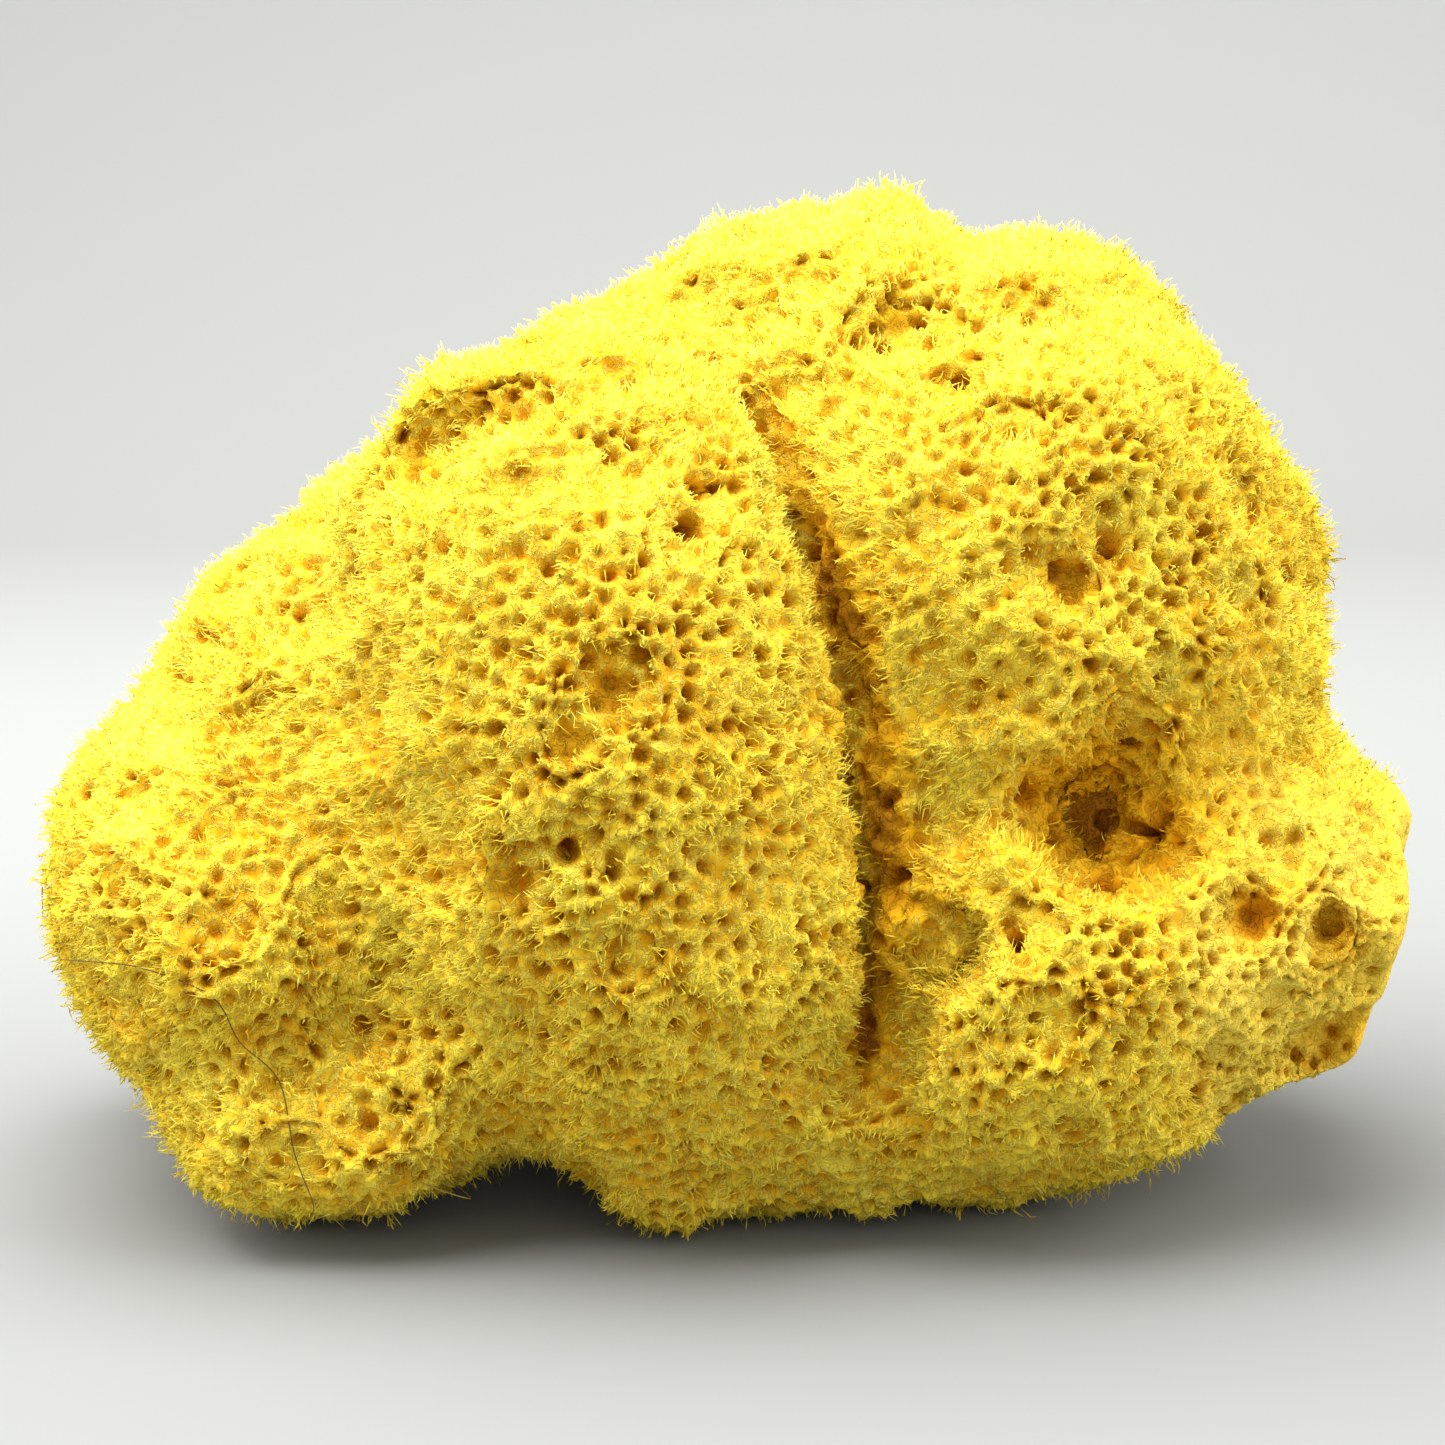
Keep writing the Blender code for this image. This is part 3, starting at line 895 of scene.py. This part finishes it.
def on_photo(route, tree):
    """The places on the skin where the photograph's pixels fall, each lifted off it by its height."""
    back = np.array((0, -math.cos(CAMERA_ELEVATION), math.sin(CAMERA_ELEVATION)))
    up = np.array((0, math.sin(CAMERA_ELEVATION), math.cos(CAMERA_ELEVATION)))
    eye = np.array(CAMERA_TARGET) + back * CAMERA_DISTANCE
    places = []
    for (right, down), height in route:
        across = (right - PHOTO_WIDTH / 2) * FIELD_WIDTH / PHOTO_WIDTH
        along = (PHOTO_WIDTH / 2 - down) * FIELD_WIDTH / PHOTO_WIDTH
        ray = np.array((across, 0, 0)) + up * along - back * CAMERA_DISTANCE
        place, normal, _, _ = tree.ray_cast(Vector(eye), Vector(ray))
        if place is not None:
            places.append(np.array(place) + np.array(normal) * height * MM)
    return np.array(places)


def smooth_route(places, steps):
    """Points along a smooth curve through the places."""
    ends = np.concatenate((2 * places[:1] - places[1:2], places, 2 * places[-1:] - places[-2:-1]))
    route = []
    for before, start, stop, after in zip(ends, ends[1:], ends[2:], ends[3:]):
        for share in np.linspace(0, 1, steps, endpoint=False):
            bend = share * (1 - share)
            pull = (1 - share) * (stop - before) / 2 - share * (after - start) / 2
            pull = pull - (1 - 2 * share) * (stop - start)
            route.append(start * (1 - share) + stop * share + bend * pull)
    return np.array([*route, places[-1]])


def thread(name, places, radius):
    """A thin round thread along the places, tapered at both ends."""
    route = smooth_route(places, THREAD_STEPS)
    number = np.arange(len(route))
    from_end = np.minimum(number, number[::-1])
    width = radius * np.clip(from_end / THREAD_TAPER, THREAD_TIP, 1)
    turns = ways_round(unit(np.gradient(route, axis=0)), THREAD_SIDES)
    rings = [route + turn * width[:, None] for turn in turns]
    points = np.stack(rings, axis=1).reshape(-1, 3)
    here = np.arange(THREAD_SIDES)
    beside = (here + 1) % THREAD_SIDES
    band = np.stack((here, beside, beside + THREAD_SIDES, here + THREAD_SIDES), axis=1)
    faces = (number[:-1, None, None] * THREAD_SIDES + band).reshape(-1, 4)
    return mesh_of(name, points, faces)


def node_in(tree, kind, **settings):
    node = tree.nodes.new(kind)
    for key, value in settings.items():
        setattr(node, key, value)
    return node


def map_range(tree, factor, **settings):
    """The factor moved to another range, with the node's sockets set by name."""
    node = tree.nodes.new("ShaderNodeMapRange")
    for key, value in settings.items():
        node.inputs[key.replace("_", " ").title()].default_value = value
    tree.links.new(factor, node.inputs["Value"])
    return node


def ramp(tree, factor, stops):
    """A colour ramp of (position, colour) stops, its two ends first, fed by the factor."""
    node = tree.nodes.new("ShaderNodeValToRGB")
    elements = node.color_ramp.elements
    for element, (position, colour) in zip(elements, stops):
        element.position = position
        element.color = (*colour, 1)
    for position, colour in stops[2:]:
        elements.new(position).color = (*colour, 1)
    tree.links.new(factor, node.inputs["Fac"])
    return node.outputs["Color"]


def noise_texture(tree, scale, detail):
    place = node_in(tree, "ShaderNodeTexCoord")
    texture = node_in(tree, "ShaderNodeTexNoise")
    texture.inputs["Scale"].default_value = scale
    texture.inputs["Detail"].default_value = detail
    tree.links.new(place.outputs["Object"], texture.inputs["Vector"])
    return texture.outputs["Fac"]


def mix_colours(tree, factor, first, second, blend="MIX"):
    node = node_in(tree, "ShaderNodeMix", data_type="RGBA", blend_type=blend)
    for socket, value in ((node.inputs[0], factor), (node.inputs[6], first), (node.inputs[7], second)):
        if isinstance(value, bpy.types.NodeSocket):
            tree.links.new(value, socket)
        elif isinstance(value, tuple):
            socket.default_value = (*value, 1)
        else:
            socket.default_value = value
    return node.outputs[2]


def multiplied(tree, first, second):
    return mix_colours(tree, 1.0, first, second, "MULTIPLY")


def attribute(tree, name):
    return node_in(tree, "ShaderNodeAttribute", attribute_name=name).outputs["Fac"]


def new_material(name):
    material = bpy.data.materials.new(name)
    material.use_nodes = True
    tree = material.node_tree
    surface = tree.nodes["Principled BSDF"]
    surface.inputs["Roughness"].default_value = 0.9
    surface.inputs["Specular IOR Level"].default_value = 0.1
    return material, tree, surface


def roughen(tree, surface, grain, low, high):
    """Roughness from low to high with the grain."""
    roughness = map_range(tree, grain, to_min=low, to_max=high)
    tree.links.new(roughness.outputs["Result"], surface.inputs["Roughness"])


def add_bump(tree, surface, grain, strength, height):
    bump = node_in(tree, "ShaderNodeBump")
    bump.inputs["Strength"].default_value = strength
    bump.inputs["Distance"].default_value = height
    tree.links.new(grain, bump.inputs["Height"])
    tree.links.new(bump.outputs["Normal"], surface.inputs["Normal"])


def with_hollow_painted_shade(tree, colour, ochre, brown, share):
    """The colour, turned to an ochre and then a brown painted shade where the form is hollow."""
    hollow = attribute(tree, "hollow")
    much = map_range(tree, hollow, from_max=ALL_OCHRE, to_max=share)
    deep = ramp(tree, hollow, tuple(zip(TO_BROWN, (ochre, brown))))
    return mix_colours(tree, much.outputs["Result"], colour, deep)


def matted(tree, scale):
    """1 along the fine crossing strands of a fibre mat, 0 between them."""
    texture = noise_texture(tree, scale, 3)
    texture.node.inputs["Distortion"].default_value = 1.2
    away = node_in(tree, "ShaderNodeMath", operation="SUBTRACT")
    away.inputs[1].default_value = 0.5
    tree.links.new(texture, away.inputs[0])
    distance = node_in(tree, "ShaderNodeMath", operation="ABSOLUTE")
    tree.links.new(away.outputs[0], distance.inputs[0])
    strand = map_range(tree, distance.outputs[0], from_max=MAT_STRAND_WIDTH, to_min=1, to_max=0)
    strand.interpolation_type = "SMOOTHSTEP"
    return strand.outputs["Result"]


def skin_material():
    material, tree, surface = new_material("sponge skin")
    # Painted shade: the skin is darker low down between the ridges.
    by_crest = ramp(tree, attribute(tree, "crest"), ((0.0, SKIN_LOW_PAINTED_SHADE), (1.0, SKIN_CREST)))
    worn = mix_colours(tree, attribute(tree, "felt"), by_crest, SKIN_FELT)
    mat = matted(tree, MAT_SCALE)
    on_strand = node_in(tree, "ShaderNodeMath", operation="MULTIPLY")
    on_strand.inputs[1].default_value = MAT_STRAND_SHARE
    tree.links.new(mat, on_strand.inputs[0])
    stranded = mix_colours(tree, on_strand.outputs[0], worn, SKIN_STRAND)
    patches = ramp(tree, noise_texture(tree, PATCH_SCALE, 4), ((0.3, PATCH_SHADE), (0.7, UNSHADED)))
    colour = with_hollow_painted_shade(tree, multiplied(tree, stranded, patches), SKIN_HOLLOW_PAINTED_SHADE, SKIN_DEEP_HOLLOW_PAINTED_SHADE, SKIN_TAKEN_OVER)
    # Painted shade: the skin is darker with depth in a pore.
    pore_painted_shade = ((0.0, UNSHADED), (1.0, PORE_FLOOR_PAINTED_SHADE), (0.3, PORE_WALL_PAINTED_SHADE))
    colour = multiplied(tree, colour, ramp(tree, attribute(tree, "depth"), pore_painted_shade))
    tree.links.new(colour, surface.inputs["Base Color"])
    roughen(tree, surface, mat, *SKIN_ROUGHNESS)
    add_bump(tree, surface, mat, 0.8, MAT_BUMP)
    return material


def fibre_material():
    material, tree, surface = new_material("sponge fibres")
    # Painted shade at the root and a partly painted highlight at the tip.
    colours = ((0.0, FIBRE_ROOT_PAINTED_SHADE), (1.0, FIBRE_TIP_AND_HIGHLIGHT), (0.5, FIBRE_MIDDLE))
    by_rise = ramp(tree, attribute(tree, "rise"), colours)
    tones = ramp(tree, attribute(tree, "tone"), ((0.0, DULL_STRAND_SHADE), (0.8, UNSHADED)))
    toned = multiplied(tree, by_rise, tones)
    # Painted shade: fibres that grow low down between the ridges are darker.
    low = ramp(tree, attribute(tree, "crest"), ((0.0, LOW_FIBRE_PAINTED_SHADE), (0.8, UNSHADED)))
    colour = with_hollow_painted_shade(tree, multiplied(tree, toned, low), FIBRE_HOLLOW_PAINTED_SHADE, FIBRE_DEEP_HOLLOW_PAINTED_SHADE, FIBRES_TAKEN_OVER)
    tree.links.new(colour, surface.inputs["Base Color"])
    grain = noise_texture(tree, FIBRE_SCALE, 2)
    roughen(tree, surface, grain, *FIBRE_ROUGHNESS)
    add_bump(tree, surface, grain, 0.3, FIBRE_BUMP)
    return material


def thread_material(name, colour):
    material, tree, surface = new_material(name)
    dark = tuple(part * THREAD_DARKENS for part in colour)
    mottled = ramp(tree, noise_texture(tree, THREAD_MOTTLE_SCALE, 2), ((0.35, dark), (0.65, colour)))
    tree.links.new(mottled, surface.inputs["Base Color"])
    grain = noise_texture(tree, THREAD_SCALE, 2)
    roughen(tree, surface, grain, *THREAD_ROUGHNESS)
    add_bump(tree, surface, grain, 0.3, THREAD_BUMP)
    return material


def paper_material():
    """Pale matt paper, a little darker on the floor than on the wall: painted shade on the floor and
    painted light on the wall, evening out how much light falls on each.
    """
    material, tree, surface = new_material("pale paper")
    place = node_in(tree, "ShaderNodeTexCoord")
    split = node_in(tree, "ShaderNodeSeparateXYZ")
    tree.links.new(place.outputs["Object"], split.inputs["Vector"])
    back = map_range(tree, split.outputs["Y"], from_min=0.0, from_max=SWEEP_BEND)
    colour = ramp(tree, back.outputs["Result"], ((0.0, FLOOR_COLOUR), (1.0, WALL_COLOUR)))
    tree.links.new(colour, surface.inputs["Base Color"])
    surface.inputs["Roughness"].default_value = PAPER_ROUGHNESS
    return material


def add_piece(mesh, material, stands_for_solid):
    piece = link(mesh.name, mesh)
    mesh.materials.append(material)
    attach(piece, "root")
    if stands_for_solid:
        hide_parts("sponge")


def add_backdrop():
    """A pale sweep: a flat floor that curves up into a wall behind."""
    profile = [(SWEEP_FRONT, 0), (SWEEP_BEND, 0)]
    for step in range(1, SWEEP_STEPS + 1):
        angle = step / SWEEP_STEPS * math.pi / 2
        rise = SWEEP_RADIUS * (1 - math.cos(angle))
        profile.append((SWEEP_BEND + SWEEP_RADIUS * math.sin(angle), rise))
    profile.append((SWEEP_BEND + SWEEP_RADIUS, SWEEP_HEIGHT))
    points = np.array([(x, y, z) for y, z in profile for x in (-SWEEP_HALF_WIDTH, SWEEP_HALF_WIDTH)])
    rows = np.arange(len(profile) - 1)[:, None] * 2
    sweep = link("backdrop", mesh_of("backdrop", points, rows + np.array((0, 1, 3, 2))))
    sweep.data.materials.append(paper_material())


def facing_rotation(way):
    """The rotation that turns a lamp or a camera to look along the way."""
    return way.to_track_quat("-Z", "Y").to_euler()


def add_lights():
    for name, place, target, size, power in LIGHTS:
        light = bpy.data.lights.new(name, "AREA")
        light.shape = "RECTANGLE"
        light.size, light.size_y = size
        light.energy = power
        lamp = link(name, light)
        lamp.location = place
        lamp.rotation_euler = facing_rotation(Vector(target) - Vector(place))
    world = bpy.data.worlds.new("studio")
    world.use_nodes = True
    background = world.node_tree.nodes["Background"]
    background.inputs["Color"].default_value = (1, 1, 1, 1)
    background.inputs["Strength"].default_value = WORLD_LIGHT
    bpy.context.scene.world = world
    bpy.context.scene.view_settings.view_transform = "Standard"


def add_camera():
    back = Vector((0, -math.cos(CAMERA_ELEVATION), math.sin(CAMERA_ELEVATION)))
    camera = link("camera", bpy.data.cameras.new("camera"))
    camera.data.sensor_width = SENSOR
    camera.data.lens = SENSOR * CAMERA_DISTANCE / FIELD_WIDTH
    camera.data.clip_start = CLIP_START
    camera.location = CAMERA_TARGET + back * CAMERA_DISTANCE
    camera.rotation_euler = facing_rotation(-back)
    bpy.context.scene.camera = camera


def add_threads(skin):
    """The loose hair, the lint and the curled fibre, on the skin."""
    tree = BVHTree.FromPolygons([Vector(point) for point in positions_of(skin)], faces_of(skin).tolist())
    for name, route, look, colour in (
        ("loose_hair", LOOSE_HAIR, "loose hair", LOOSE_HAIR_COLOUR),
        ("lint", LINT, "grey lint", LINT_COLOUR),
        ("curled_fibre", CURLED_FIBRE, "loose fibre", CURLED_FIBRE_COLOUR),
    ):
        mesh = thread(name, on_photo(route, tree), HAIR_RADIUS)
        add_piece(mesh, thread_material(look, colour), stands_for_solid=False)


def build():
    add_camera()
    add_lights()
    add_backdrop()
    whole = fine_skin()
    skin = shape_skin(whole)
    of_skin, of_fibres = skin_material(), fibre_material()
    for mesh in parted(whole):
        add_piece(mesh, of_skin, stands_for_solid=True)
    for mesh in (*grow_wisps(skin), grow_down(skin)):
        add_piece(mesh, of_fibres, stands_for_solid=False)
    add_threads(whole)


build()
